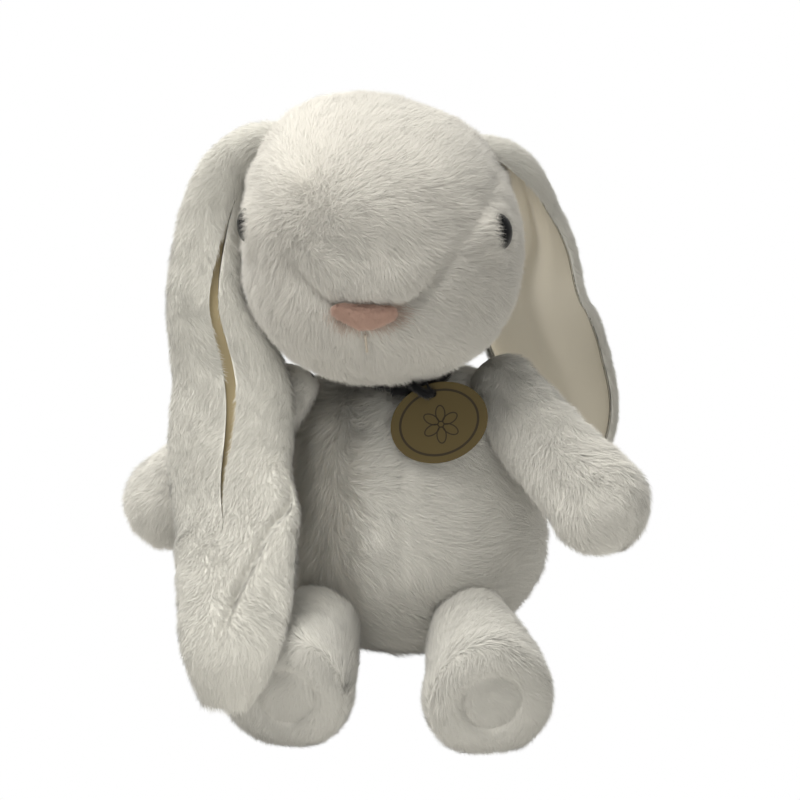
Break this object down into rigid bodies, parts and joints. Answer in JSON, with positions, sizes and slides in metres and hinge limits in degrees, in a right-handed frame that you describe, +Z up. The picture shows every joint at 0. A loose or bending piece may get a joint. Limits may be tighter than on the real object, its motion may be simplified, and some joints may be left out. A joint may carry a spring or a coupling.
{
  "type": "plush toy rabbit",
  "caption": "Seated lop-eared plush rabbit with long hanging ears, sewn panels, flopping limbs and a hang tag.",
  "frame": {"origin": "centre of the flat round panel the rabbit sits on, at its underside", "axes": "+Z up, the rabbit faces -Y, and its own left side is +X"},
  "size_m": [0.2351, 0.236, 0.2504],
  "materials": {
    "plush": "matte",
    "ear_lining": "matte",
    "stuffing": "matte",
    "pellet_bag": "matte",
    "eye_plastic": "gloss",
    "washer_plastic": "satin",
    "nose_cloth": "matte",
    "thread": "matte",
    "ribbon": "satin",
    "tag_card": "satin",
    "label_satin": "satin"
  },
  "bodies": {
    "torso": {"body_front_left": "plush", "body_front_right": "plush", "body_back_left": "plush", "body_back_right": "plush", "base_panel": "plush", "body_stuffing": "stuffing", "pellet_pouch": "pellet_bag", "tail_cover": "plush", "tail_stuffing": "stuffing", "care_label": "label_satin", "back_seam_thread": "thread", "neck_seam_thread": "thread", "neck_ribbon": "ribbon", "ribbon_knot": "ribbon"},
    "head": {"head_gusset": "plush", "head_side_left": "plush", "head_side_right": "plush", "head_stuffing": "stuffing", "eye_left": "eye_plastic", "eye_right": "eye_plastic", "eye_washer_left": "washer_plastic", "eye_washer_right": "washer_plastic", "nose": "nose_cloth", "mouth_stitch": "thread"},
    "ear_left": {"ear_left_outer": "plush", "ear_left_lining": "ear_lining"},
    "ear_right": {"ear_right_outer": "plush", "ear_right_lining": "ear_lining"},
    "arm_left": {"arm_left_front": "plush", "arm_left_back": "plush", "arm_left_stuffing": "stuffing"},
    "arm_right": {"arm_right_front": "plush", "arm_right_back": "plush", "arm_right_stuffing": "stuffing"},
    "leg_left": {"leg_left_skin": "plush", "sole_left": "plush", "leg_left_stuffing": "stuffing"},
    "leg_right": {"leg_right_skin": "plush", "sole_right": "plush", "leg_right_stuffing": "stuffing"},
    "tag": {"hang_tag": "tag_card", "tag_cord": "ribbon"}
  },
  "joints": [
    {"name": "head_turn", "type": "hinge", "parent": "torso", "child": "head", "pos_m": [-0.003, -0.008, 0.128], "axis": [0, 0, 1], "range_deg": [0, 15]},
    {"name": "ear_left_lift", "type": "hinge", "parent": "head", "child": "ear_left", "pos_m": [0.044, 0.008, 0.222], "axis": [0, -1, 0], "range_deg": [0, 100]},
    {"name": "ear_right_lift", "type": "hinge", "parent": "head", "child": "ear_right", "pos_m": [-0.067, -0.008, 0.2295], "axis": [0, 1, 0], "range_deg": [0, 100]},
    {"name": "arm_left_raise", "type": "hinge", "parent": "torso", "child": "arm_left", "pos_m": [0.044, -0.008, 0.12], "axis": [0, -1, 0], "range_deg": [0, 70]},
    {"name": "arm_right_raise", "type": "hinge", "parent": "torso", "child": "arm_right", "pos_m": [-0.053, -0.008, 0.114], "axis": [0, 1, 0], "range_deg": [0, 30]},
    {"name": "leg_left_swing", "type": "hinge", "parent": "torso", "child": "leg_left", "pos_m": [0.033, -0.052, 0.025], "axis": [-0.9903, -0.1392, 0], "range_deg": [-45, 6]},
    {"name": "leg_right_swing", "type": "hinge", "parent": "torso", "child": "leg_right", "pos_m": [-0.033, -0.052, 0.025], "axis": [-0.9945, 0.1045, 0], "range_deg": [-45, 0]},
    {"name": "tag_swing", "type": "hinge", "parent": "torso", "child": "tag", "pos_m": [0.011, -0.0356, 0.1304], "axis": [-1, 0, 0], "range_deg": [0, 20]}
  ]
}
